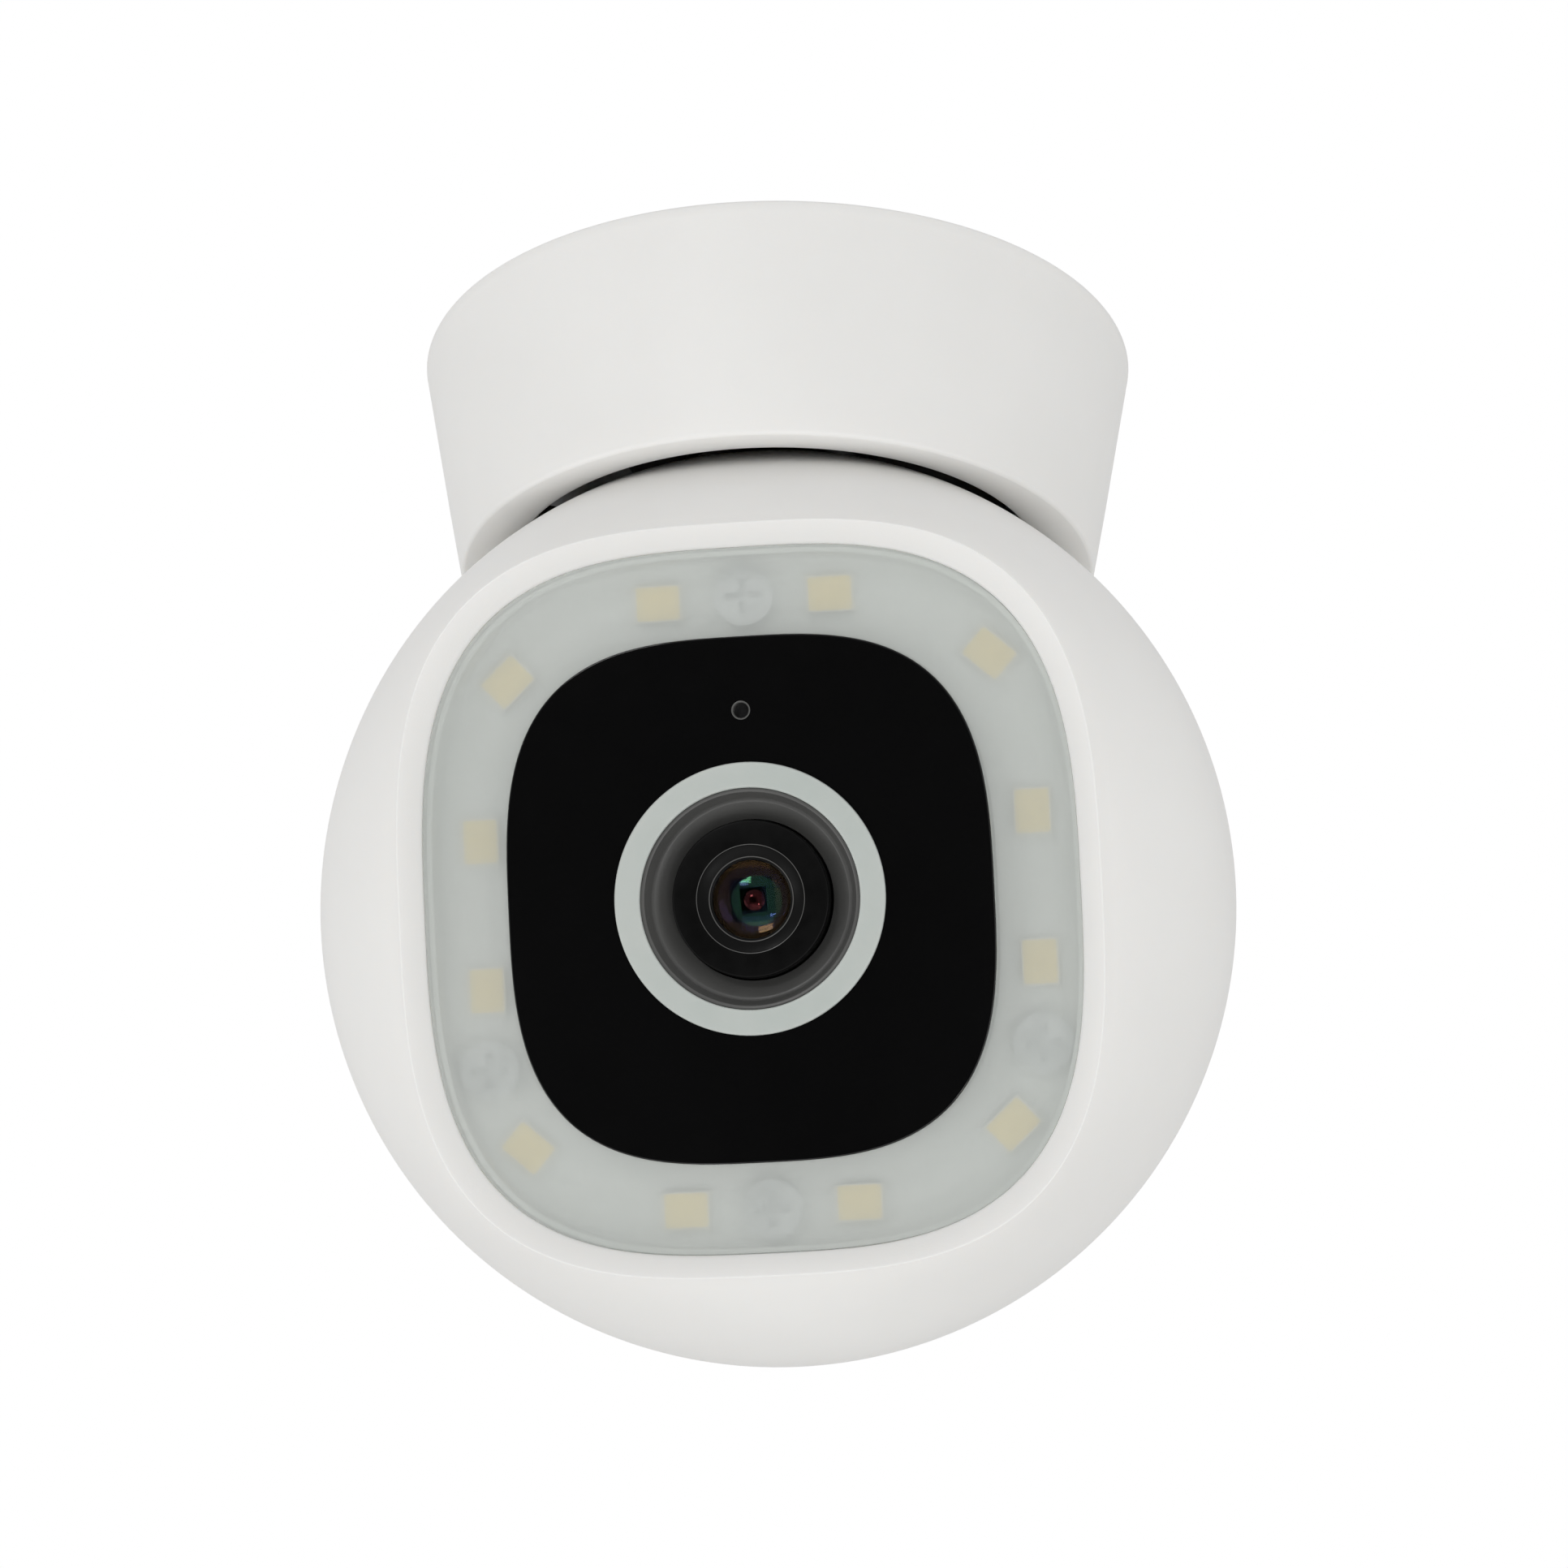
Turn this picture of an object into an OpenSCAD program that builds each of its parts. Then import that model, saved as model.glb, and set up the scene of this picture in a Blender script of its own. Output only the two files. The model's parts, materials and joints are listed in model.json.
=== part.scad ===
// Ceiling floodlight camera: a ball head that pans and tilts under a tapered collar.
// Origin: centre of the ceiling face. +Z points up into the ceiling, the lens faces -Y.

/* [Head] */
// Diameter of the ball head
head_d = 70; // [69:0.5:72]
// Angle of the lens below the horizon at rest
rest_tilt = 20; // [15:1:25]
// Distance from the ball centre to the rim of the face
face_reach = 16.8; // [16.6:0.1:17.2]
// Width of the face rim
face_w = 52.3; // [51:0.1:53]
// Height of the face rim
face_h = 55.6; // [54:0.1:56]
// Squareness of the face outline, 2 is an ellipse
squareness = 3.1; // [2.8:0.1:3.4]
// Width of the sloping band between the rim and the diffuser
band_w = 1.7; // [1.4:0.1:2]
// Depth of the sloping band
band_depth = 1.2; // [0.8:0.1:1.4]
// Wall thickness of the ball shells
shell_wall = 2; // [1.8:0.1:2]

/* [Face] */
// Width of the black window
window_w = 36.2; // [35:0.1:37]
// Height of the black window
window_h = 38.9; // [38:0.1:40]
// Outer diameter of the status ring
ring_od = 20.2; // [19.8:0.1:21]
// Inner diameter of the status ring
ring_id = 16.4; // [16:0.1:17]
// Diameter of the lens barrel head
barrel_d = 11.7; // [11:0.1:11.8]
// Diameter of the front lens element
glass_d = 5.86; // [5.4:0.02:6.2]
// Height of the microphone hole above the lens axis
mic_y = 13.95; // [13.5:0.05:14.5]
// Length of a light emitting diode
led_l = 3.5; // [3:0.1:3.6]
// Width of a light emitting diode
led_w = 2.8; // [2.4:0.1:3]

/* [Collar] */
// Diameter of the collar at the ceiling
collar_top_d = 56.2; // [55.6:0.1:58]
// Diameter of the collar at its lower edge
collar_low_d = 49.8; // [49.4:0.1:51]
// Height of the collar
collar_h = 18.2; // [18:0.1:18.6]
// Wall thickness of the collar
collar_wall = 1.8; // [1.6:0.1:2]
// Gap between the collar and the ball
ball_gap = 0.45; // [0.4:0.05:0.6]

/* [Mounting] */
// Thickness of the mounting plate
plate_t = 2; // [1.8:0.1:2.2]
// Distance between the two ceiling screw holes
hole_spacing = 42; // [41.6:0.1:42.4]
// Diameter of a ceiling screw hole
hole_d = 4.2; // [3.6:0.1:4.4]

/* [Drive] */
// Module of the gear teeth
tooth_module = 0.5; // [0.5:0.1:0.5]
// Teeth on the pan gear
pan_teeth = 56; // [56:2:56]
// Teeth on the pan pinion
pan_pinion_teeth = 14; // [14:1:14]
// Teeth on the tilt gear
tilt_teeth = 40; // [40:2:40]
// Teeth on the tilt pinion
tilt_pinion_teeth = 12; // [12:1:12]
// Outer diameter of the hollow neck
neck_d = 9; // [8.6:0.1:9]
// Running clearance of shafts in their bushes
running = 0.05; // [0.03:0.01:0.08]

/* [Hidden] */
$fn = 96;

// Ball and its place under the ceiling
head_r = head_d / 2;
collar_low_r = collar_low_d / 2;
collar_top_r = collar_top_d / 2;
lip_r = 20.65;
lip_z = -collar_h + 0.9;
head_z = lip_z - sqrt(pow(head_r + ball_gap, 2) - lip_r * lip_r);
shell_in_r = head_r - shell_wall;

// Stations along the lens axis, from the ball centre forward
seam_z = -6;
loft_z = 4;
lip_face_z = face_reach - band_depth;
diffuser_front = lip_face_z - 0.2;
diffuser_t = 1.4;
diffuser_back = diffuser_front - diffuser_t;
window_front = diffuser_front + 0.15;
window_t = 1.2;
window_back = window_front - window_t;
led_face = 10.2;
led_board_t = 1;
spreader_t = 1.2;
frame_back = 5.6;
frame_front = 7;
board_front = -1;
board_t = 1.2;

// Neck, slot and yoke
neck_r = neck_d / 2;
neck_bore_r = 3;
slot_half = neck_r + 0.9;
slot_from = 89.6;
slot_to = 180.4;
seam_r = sqrt(head_r * head_r - seam_z * seam_z);
slot_side = asin(slot_half / seam_r);
slot_shares = [1.004, 0.997, 0.95, 0.86, 0.66, 0.33];
outer_steps = 14;
inner_steps = 8;
inner_front = 12.4;
arm_in = 20.5;
arm_out = 22.5;
arm_half = 3.6;
bridge_top = 22;
bridge_t = 2;
pin_r = 1.5;
bush_r = 2.6;
gear_in = 22.8;
gear_t = 1.2;
ear_in = gear_in + gear_t;
ear_t = 2;
shaft_r = 0.5;
motor_r = 5;

// Heights in the base, from the ceiling down
board_z = -3.7;
inlet_h = 3.1;
gear_z = -6.4;
chassis_top = -6.9;
chassis_low = -8.2;
chassis_r = 18.6;
motor_h = 4.4;
neck_top = -4.3;
pan_motor_az = 210;
leg_az = [30, 150, 270];
leg_r = 21.5;
lug_az = [60, 120];
screw_z = -4;

// Gear sizes
pan_centres = tooth_module * (pan_teeth + pan_pinion_teeth) / 2;
tilt_centres = tooth_module * (tilt_teeth + tilt_pinion_teeth) / 2;
addendum = 0.8 * tooth_module;
dedendum = 1.1 * tooth_module;
tooth_play = 0.15;
flank = tan(20);

// Ports in the rear shell: turn to the side, then drop below the rear pole
card_side = -9;
button_side = 17;
port_drop = 42;
button_r = 1.5;

// Fastener and lamp positions on the face, as [x, y] or [x, y, turn]
led_screw_at = [[0, 22.9], [0, -22.9], [-20.8, -11.6], [20.8, -11.6]];
led_at = [
    [-6.5, 22.7, 0], [6.5, 22.7, 0], [18.2, 17.5, -42], [20.8, 5.6, 90],
    [20.8, -5.6, 90], [18.2, -17.5, 42], [6.5, -22.7, 0], [-6.5, -22.7, 0],
    [-18.2, -17.5, -42], [-20.8, -5.6, 90], [-20.8, 5.6, 90], [-18.2, 17.5, 42]
];
pillar_at = [[-11, -17], [11, -17], [-11, 11], [11, 11]];

// Colours
white_c = [0.87, 0.865, 0.85];
steel_c = [0.72, 0.73, 0.75];
dark_c = [0.08, 0.08, 0.085];
board_c = [0.05, 0.3, 0.16];
nylon_c = [0.85, 0.83, 0.76];

// ---------- shared shapes ----------

// Distance from the centre to a rounded square of half sizes a and b at angle t
function rounded(t, a, b) =
    pow(pow(abs(cos(t)) / a, squareness) + pow(abs(sin(t)) / b, squareness), -1 / squareness);

function outline(a, b, steps = 96) =
    [for (i = [0:steps - 1]) let (t = i * 360 / steps) rounded(t, a, b) * [cos(t), sin(t)]];

module rounded_plate(w, h, t) {
    linear_extrude(t) polygon(outline(w / 2, h / 2));
}

// Lens frame: z runs forward along the lens axis, y up, x across
module lens_frame() {
    translate([0, 0, head_z]) rotate([90 + rest_tilt, 0, 0]) children();
}

// Tilt axis frame: z runs along +X from the ball centre, x points down
module tilt_axis(x) {
    translate([x, 0, head_z]) rotate([0, 90, 0]) children();
}

module rear_port(side) {
    rotate([180 - port_drop, 0, 0]) rotate([0, side, 0]) children();
}

module around(az, r) {
    rotate([0, 0, az]) translate([r, 0, 0]) children();
}

module tube(outer_r, inner_r, h) {
    linear_extrude(h) difference() {
        circle(outer_r);
        circle(inner_r);
    }
}

function tooth(i, teeth, r, half) =
    [for (s = [-1, 1]) let (t = i * 360 / teeth + s * half / r * 180 / PI) r * [cos(t), sin(t)]];

function gear_outline(teeth) =
    let (
        pitch_r = teeth * tooth_module / 2,
        half = (PI * tooth_module / 2 - tooth_play) / 2,
        root_half = half + dedendum * flank,
        tip_half = half - addendum * flank
    )
    [for (i = [0:teeth - 1])
        let (
            root = tooth(i, teeth, pitch_r - dedendum, root_half),
            tip = tooth(i, teeth, pitch_r + addendum, tip_half)
        )
        each [root[0], tip[0], tip[1], root[1]]];

module gear(teeth, bore_r, t) {
    linear_extrude(t) difference() {
        polygon(gear_outline(teeth));
        circle(bore_r);
    }
}

// Pan-head screw along -z, its head resting on z = 0
module screw(head_r, head_h, shank_r, shank_l) {
    difference() {
        union() {
            cylinder(r = head_r, h = head_h);
            translate([0, 0, -shank_l]) cylinder(r = shank_r, h = shank_l);
        }
        for (turn = [0, 90]) rotate([0, 0, turn])
            translate([-head_r * 0.6, -head_r * 0.13, head_h * 0.45])
                cube([head_r * 1.2, head_r * 0.26, head_h]);
    }
}

module motor_body(h, bore_h) {
    difference() {
        union() {
            cylinder(r = motor_r, h = h);
            translate([-1.6, -motor_r - 0.9, 0.6]) cube([3.2, 2, h - 1.2]);
        }
        translate([0, 0, h - bore_h]) cylinder(r = shaft_r + running, h = bore_h + 1);
    }
}

module pinion(teeth, t, shaft_l) {
    gear(teeth, shaft_r, t);
    translate([0, 0, t - shaft_l]) cylinder(r = shaft_r, h = shaft_l);
}

// ---------- base ----------

module plate_lugs() {
    for (az = lug_az) around(az, 0) translate([21.8, -2.6, -6]) cube([2.6, 5.2, 4.2]);
}

module mounting_plate() {
    color(steel_c) difference() {
        union() {
            translate([0, 0, -plate_t]) cylinder(r = 24.6, h = plate_t);
            plate_lugs();
        }
        for (side = [-1, 1]) translate([side * hole_spacing / 2, 0, -plate_t - 1])
            cylinder(d = hole_d, h = plate_t + 2);
        for (az = leg_az) around(az, leg_r) translate([0, 0, -plate_t - 1])
            cylinder(r = 1, h = 2.2);
        for (az = lug_az) around(az, 21) translate([0, 0, screw_z]) rotate([0, 90, 0])
            cylinder(r = 1, h = 5);
    }
}

module ceiling_gasket() {
    color([0.3, 0.3, 0.31]) translate([0, 0, -1.6]) tube(25.95, 24.6, 1.6);
}

function collar_outer(z) = collar_top_r + (collar_top_r - collar_low_r) * z / collar_h;

module collar_profile() {
    edge = 0.35;
    corner_r = collar_outer(-collar_h + edge) - 0.05;
    polygon(concat(
        [[collar_top_r - collar_wall, 0], [collar_top_r - 0.4, 0], [collar_outer(-0.4), -0.4]],
        [for (t = [0:15:90]) [corner_r - edge + edge * cos(t), -collar_h + edge - edge * sin(t)]],
        [[lip_r, lip_z], [lip_r, lip_z + 1.5]],
        [[collar_outer(lip_z + 1.5) - collar_wall, lip_z + 1.5]]
    ));
}

module collar() {
    color(white_c) difference() {
        rotate_extrude() collar_profile();
        translate([0, 0, board_z - inlet_h - 0.3])
            inlet_bar(9.8, inlet_h + 0.6, 20, 32, 1.7);
        for (az = lug_az) around(az, 0) translate([0, 0, screw_z]) rotate([0, 90, 0]) {
            cylinder(r = 1.1, h = 30);
            translate([0, 0, 26.2]) cylinder(r = 1.8, h = 5);
        }
        for (row = [0:2], k = [-3:3])
            rotate([0, 0, 90 + k * 4 + (row % 2) * 2]) translate([20, 0, -10.2 - row * 1.9])
                rotate([0, 90, 0]) cylinder(r = 0.5, h = 10);
    }
}

// Bar with round ends along +Y, resting on z = 0
module inlet_bar(w, h, from_y, to_y, r) {
    translate([0, to_y, 0]) rotate([90, 0, 0]) linear_extrude(to_y - from_y) union() {
        translate([-w / 2 + r, 0]) square([w - 2 * r, h]);
        translate([-w / 2, r]) square([w, h - 2 * r]);
        for (x = [-1, 1], y = [r, h - r]) translate([x * (w / 2 - r), y]) circle(r);
    }
}

module base_chassis() {
    motor_pad_r = 6;
    color([0.2, 0.2, 0.21]) difference() {
        union() {
            translate([0, 0, chassis_low]) cylinder(r = chassis_r, h = chassis_top - chassis_low);
            around(pan_motor_az, pan_centres) translate([0, 0, chassis_low])
                cylinder(r = motor_pad_r, h = chassis_top - chassis_low);
            for (az = leg_az) {
                around(az, leg_r - 5) translate([0, -bush_r, chassis_low])
                    cube([5, 2 * bush_r, chassis_top - chassis_low]);
                around(az, leg_r) translate([0, 0, chassis_low])
                    cylinder(r = bush_r, h = -plate_t - chassis_low);
            }
        }
        translate([0, 0, chassis_low - 1]) cylinder(r = 6.5, h = 5);
        for (az = leg_az) around(az, leg_r) translate([0, 0, chassis_low - 1])
            cylinder(r = 1, h = 8);
        around(pan_motor_az, pan_centres) translate([0, 0, chassis_low - 1])
            cylinder(r = 0.8, h = 5);
    }
}

module chassis_screws() {
    color(steel_c) for (az = leg_az) around(az, leg_r) translate([0, 0, chassis_low])
        rotate([180, 0, 0]) screw(1.8, 1, 1, 6.8);
}

module lock_screws() {
    color(steel_c) for (az = lug_az) around(az, 26.2) translate([0, 0, screw_z])
        rotate([0, 90, 0]) screw(1.7, 0.8, 1, 4.2);
}

module power_board() {
    color(board_c) difference() {
        union() {
            translate([0, 0, board_z]) cylinder(r = 17.5, h = 1);
            translate([-6, 10, board_z]) cube([12, 11, 1]);
            for (x = [-9, 9]) translate([x, -6, board_z + 1])
                cylinder(r = 1.4, h = -plate_t - board_z - 1);
        }
        translate([0, 0, board_z - 1]) cylinder(r = neck_bore_r, h = 3);
    }
}

module power_inlet() {
    wall = 0.35;
    tongue_t = 0.7;
    color(steel_c) translate([0, 0, board_z - inlet_h]) {
        difference() {
            inlet_bar(9.2, inlet_h, 16, 26.2, 1.4);
            translate([0, 0, wall]) inlet_bar(9.2 - 2 * wall, inlet_h - 2 * wall, 17.5, 27, 1.4 - wall);
        }
        translate([-3.2, 17.5, (inlet_h - tongue_t) / 2]) cube([6.4, 7.4, tongue_t]);
    }
}

module speaker() {
    color([0.12, 0.12, 0.13]) difference() {
        translate([-6, 19.4, -15.6]) cube([12, 3, 7]);
        translate([0, 23, -12.1]) rotate([90, 0, 0]) cylinder(r = 2.9, h = 1.4);
    }
}

module antenna() {
    color([0.75, 0.55, 0.2]) translate([-7, -22.3, -15.4]) cube([14, 0.8, 5.8]);
}

module pan_motor() {
    color(steel_c) around(pan_motor_az, pan_centres) translate([0, 0, chassis_low - motor_h])
        motor_body(motor_h, 0.9);
}

module pan_bearing() {
    bore_r = neck_r + running;
    color([0.75, 0.62, 0.35]) {
        translate([0, 0, chassis_low]) tube(6.5, bore_r, chassis_top - chassis_low);
        translate([0, 0, chassis_top]) tube(8, bore_r, 0.3);
    }
}

module pan_pinion() {
    gap_turn = pan_motor_az + 180 + 180 / pan_pinion_teeth;
    color([0.75, 0.62, 0.35]) around(pan_motor_az, pan_centres) translate([0, 0, gear_z])
        rotate([0, 0, gap_turn - pan_motor_az]) pinion(pan_pinion_teeth, 1.2, 3.6);
}

// ---------- turret, turns about the vertical axis ----------

module turret_neck() {
    foot_z = head_z + bridge_top;
    color([0.2, 0.2, 0.21]) difference() {
        union() {
            translate([0, 0, foot_z]) cylinder(r = neck_r, h = neck_top - foot_z);
            translate([0, 0, chassis_low - 1.2]) cylinder(r = 7.5, h = 1);
            intersection() {
                translate([0, 0, foot_z]) cylinder(r = 7.6, h = 1.2);
                translate([-10, -arm_half, foot_z]) cube([20, 2 * arm_half, 2]);
            }
        }
        translate([0, 0, foot_z - 1]) cylinder(r = neck_bore_r, h = 30);
        for (x = [-1, 1]) translate([x * 6, 0, foot_z - 1]) cylinder(r = 0.7, h = 4);
        translate([0, 0, -5.2]) tube(neck_r + 1, neck_r - 0.5, 0.6);
    }
}

module pan_gear() {
    color(nylon_c) translate([0, 0, gear_z]) rotate([0, 0, pan_motor_az])
        gear(pan_teeth, neck_r, 1.2);
}

module retaining_ring() {
    color(steel_c) translate([0, 0, -5.2]) difference() {
        tube(6.3, neck_r - 0.5, 0.6);
        translate([-1.5, 3, -1]) cube([3, 5, 3]);
    }
}

module yoke_arm(side) {
    inner = side > 0 ? arm_in : -arm_out;
    bridge_low = bridge_top - bridge_t;
    translate([inner, -arm_half, head_z]) cube([arm_out - arm_in, 2 * arm_half, bridge_low + 1]);
    tilt_axis(inner) cylinder(r = arm_half, h = arm_out - arm_in);
}

module yoke() {
    color([0.68, 0.69, 0.7]) difference() {
        union() {
            for (side = [-1, 1]) yoke_arm(side);
            translate([-arm_out, -arm_half, head_z + bridge_top - bridge_t])
                cube([2 * arm_out, 2 * arm_half, bridge_t]);
        }
        tilt_axis(-30) cylinder(r = bush_r, h = 60);
        translate([0, 0, head_z + tilt_centres]) rotate([0, 90, 0]) cylinder(r = 0.8, h = 30);
        translate([0, 0, head_z + 15]) cylinder(r = neck_bore_r, h = 20);
        for (x = [-1, 1]) translate([x * 6, 0, head_z + 15]) cylinder(r = 0.7, h = 20);
    }
}

module yoke_screws() {
    color(steel_c) for (x = [-1, 1]) translate([x * 6, 0, head_z + bridge_top + 1.2])
        screw(1.2, 0.8, 0.7, 3);
}

module yoke_bushes() {
    color([0.75, 0.62, 0.35]) for (x = [arm_in, -arm_out])
        tilt_axis(x) tube(bush_r, pin_r + running, arm_out - arm_in);
}

module tilt_motor() {
    length = 6.5;
    color(steel_c) translate([arm_in - length, 0, head_z + tilt_centres]) rotate([0, 90, 0])
        rotate([0, 0, 180]) motor_body(length, 1.1);
}

module tilt_pinion() {
    color([0.75, 0.62, 0.35]) translate([gear_in, 0, head_z + tilt_centres]) rotate([0, 90, 0])
        rotate([0, 0, 180 / tilt_pinion_teeth]) pinion(tilt_pinion_teeth, gear_t, 4.4);
}

// ---------- head, tilts about the yoke ----------

module frame_ear(side) {
    low_x = side > 0 ? ear_in : -ear_in - ear_t;
    translate([low_x, -5, -5]) cube([ear_t, 10, frame_front + 5]);
}

module head_frame() {
    plate_h = frame_front - frame_back;
    color([0.3, 0.31, 0.33]) lens_frame() difference() {
        union() {
            translate([0, 0, frame_back]) cylinder(r = 28.5, h = plate_h);
            for (side = [-1, 1]) frame_ear(side);
            for (p = led_screw_at) translate([p.x, p.y, frame_back])
                cylinder(r = 2.6, h = led_face - led_board_t - spreader_t - frame_back);
            for (p = pillar_at) translate([p.x, p.y, board_front])
                cylinder(r = 1.6, h = frame_front - board_front);
            for (az = [20, 160, 270]) rotate([0, 0, az]) translate([27, -2.5, -5.4])
                cube([4.2, 5, frame_front + 5.4]);
        }
        translate([-4.6, -3.8, frame_back - 1]) cube([9.2, 7.6, plate_h + 2]);
        translate([-40, 0, 0]) rotate([0, 90, 0]) cylinder(r = pin_r, h = 80);
        for (p = led_screw_at) translate([p.x, p.y, frame_back - 1])
            cylinder(r = 0.9, h = 10);
        for (p = pillar_at) translate([p.x, p.y, board_front - 1]) cylinder(r = 0.8, h = 6);
    }
}

module pivot_pins() {
    outer = ear_in + ear_t;
    color(steel_c) for (turn = [0, 180]) translate([0, 0, head_z]) rotate([0, 0, turn])
        rotate([0, 90, 0]) {
            translate([0, 0, 19.6]) cylinder(r = pin_r, h = outer - 19.6);
            translate([0, 0, outer]) cylinder(r = 2.4, h = 0.8);
        }
}

module spacer_washer() {
    color(nylon_c) tilt_axis(-ear_in) tube(3, pin_r, gear_t);
}

module tilt_gear() {
    color(nylon_c) difference() {
        tilt_axis(gear_in) rotate([0, 0, 180]) gear(tilt_teeth, pin_r, gear_t);
        lens_frame() translate([0, -20, frame_back - 0.3]) cube(40);
    }
}

// Outer radius of the ball at station z and angle t: a sphere that blends
// into the rounded-square rim of the face
function blend_r(z, t) =
    let (
        start_r = sqrt(head_r * head_r - loft_z * loft_z),
        slope = -loft_z / start_r,
        run = face_reach - loft_z,
        rim_r = rounded(t, face_w / 2, face_h / 2),
        u = z - loft_z
    )
    z <= loft_z
        ? sqrt(head_r * head_r - z * z)
        : start_r + slope * u + (rim_r - start_r - slope * run) * pow(u / run, 2);

function inner_r(z, t) =
    z <= loft_z ? sqrt(pow(shell_in_r + 0.1, 2) - z * z) : blend_r(z, t) - shell_wall - 0.1;

// Back edge of the front shell, cut forward at the top by the round end of the neck slot
function back_edge(t) =
    let (off = abs(t - 90))
    off < slot_side
        ? head_r * cos(slot_from) + sqrt(slot_half * slot_half - pow(seam_r * sin(off), 2))
        : seam_z;

function wall_r(z, t, inside) = inside ? inner_r(z, t) : blend_r(z, t);

// Point k of a wall that rises from the back edge; the first ones lie on the slot's cut face
function wall_point(k, step, edge, t, inside) =
    let (
        last = floor((edge - seam_z) / step),
        z = seam_z + k * step,
        edge_r = wall_r(edge, t, inside),
        mid_r = blend_r(edge, t) - shell_wall / 2 + (inside ? -0.1 : 0.1)
    )
    k > last ? [wall_r(z, t, inside), z]
    : [last == 0 ? edge_r : mid_r + (edge_r - mid_r) * k / last, edge];

function shell_section(t) =
    let (
        edge = back_edge(t),
        outer_step = (face_reach - seam_z) / outer_steps,
        inner_step = (inner_front - seam_z) / inner_steps,
        lip = rounded(t, face_w / 2 - band_w, face_h / 2 - band_w)
    )
    concat(
        [for (k = [0:outer_steps]) wall_point(k, outer_step, edge, t, false)],
        [[lip, lip_face_z], [lip, diffuser_back - 0.4]],
        [for (k = [inner_steps:-1:0]) wall_point(k, inner_step, edge, t, true)]
    );

module front_shell() {
    angles = concat(
        [for (t = [0:3:78]) t],
        [for (share = slot_shares) 90 - share * slot_side],
        [90],
        [for (i = [len(slot_shares) - 1:-1:0]) 90 + slot_shares[i] * slot_side],
        [for (t = [102:3:357]) t]
    );
    columns = len(angles);
    sections = [for (t = angles) shell_section(t)];
    count = len(sections[0]);
    points = [
        for (i = [0:columns - 1]) for (p = sections[i])
            [p[0] * cos(angles[i]), p[0] * sin(angles[i]), p[1]]
    ];
    faces = [
        for (i = [0:columns - 1]) for (j = [0:count - 1])
            let (
                a = i * count + j,
                b = i * count + (j + 1) % count,
                c = (i + 1) % columns * count + (j + 1) % count,
                d = (i + 1) % columns * count + j,
                right_side = angles[i] < 90 || angles[i] >= 270,
                outside = j <= outer_steps
            )
            each right_side == outside ? [[a, b, c], [a, c, d]] : [[a, b, d], [b, c, d]]
    ];
    color(white_c) lens_frame() polyhedron(points, faces);
}

// Path of the neck through the shell, from straight up to straight back
module neck_slot() {
    rotate([0, -90, 0]) rotate([0, 0, slot_from])
        rotate_extrude(angle = slot_to - slot_from) translate([head_r - 5, -slot_half])
            square([8, 2 * slot_half]);
    for (angle = [slot_from, slot_to]) rotate([-angle, 0, 0])
        translate([0, 0, head_r - 5]) cylinder(r = slot_half, h = 8);
}

module rear_shell() {
    reach = head_r + 2;
    color(white_c) lens_frame() difference() {
        sphere(head_r);
        sphere(shell_in_r);
        translate([-reach, -reach, seam_z]) cube([2 * reach, 2 * reach, reach + 6]);
        neck_slot();
        rear_port(card_side) translate([-6.2, -0.8, 28]) cube([12.4, 1.6, 9]);
        rear_port(button_side) translate([0, 0, 28]) cylinder(r = button_r + 0.08, h = 9);
    }
}

module shell_ring() {
    color([0.5, 0.5, 0.5]) lens_frame() difference() {
        intersection() {
            sphere(shell_in_r);
            translate([-40, -40, seam_z - 1.5]) cube([80, 80, 3]);
        }
        sphere(shell_in_r - 0.8);
        translate([-slot_half - 1, 0, -10]) cube([2 * slot_half + 2, 40, 12]);
    }
}

module diffuser() {
    edge = band_w + 0.05;
    color([0.78, 0.81, 0.8]) lens_frame() translate([0, 0, diffuser_back]) difference() {
        rounded_plate(face_w - 2 * edge, face_h - 2 * edge, diffuser_t);
        translate([0, 0, -1]) rounded_plate(window_w + 0.1, window_h + 0.1, diffuser_t + 2);
    }
}

module front_window() {
    color([0.03, 0.03, 0.03]) lens_frame() translate([0, 0, window_back]) difference() {
        rounded_plate(window_w, window_h, window_t);
        translate([0, 0, -1]) cylinder(d = ring_od + 0.1, h = 4);
        translate([0, mic_y, -1]) cylinder(d = 1.4, h = 4);
    }
}

module status_ring() {
    color([0.75, 0.79, 0.79]) lens_frame() translate([0, 0, 13.6])
        tube(ring_od / 2, ring_id / 2, window_front + 0.2 - 13.6);
}

module lens_bezel() {
    color([0.33, 0.33, 0.34]) lens_frame() rotate_extrude() polygon([
        [6, 12.9], [ring_id / 2, 12.9], [ring_id / 2, 15.5], [ring_id / 2 - 0.25, 15.5],
        [7.5, 14.4], [7.2, 14.4], [6, 13.4]
    ]);
}

module lens_barrel() {
    glass_r = glass_d / 2;
    color(dark_c) lens_frame() difference() {
        union() {
            translate([0, 0, 7.6]) cylinder(r = 5, h = 6);
            translate([0, 0, 12.8]) cylinder(d = barrel_d, h = 2.4);
        }
        translate([0, 0, 7]) cylinder(r = glass_r, h = 9);
        translate([0, 0, 14.7]) cylinder(r1 = glass_r, r2 = 3.95, h = 0.6);
    }
}

module lens_glass() {
    dome_r = 6;
    color([0.1, 0.16, 0.18]) lens_frame() intersection() {
        translate([0, 0, 9]) cylinder(d = glass_d, h = 8);
        translate([0, 0, 15 - dome_r]) sphere(dome_r);
    }
}

module lens_holder() {
    color(dark_c) lens_frame() difference() {
        union() {
            translate([-7.5, -7.5, frame_front]) cube([15, 15, 1]);
            translate([0, 0, frame_front]) cylinder(r = 7, h = 5.6);
        }
        translate([0, 0, frame_front - 1]) cylinder(r = 5, h = 8);
    }
}

module sensor_board() {
    color(board_c) lens_frame() translate([-9, -9, frame_back - 1]) cube([18, 18, 1]);
}

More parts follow.
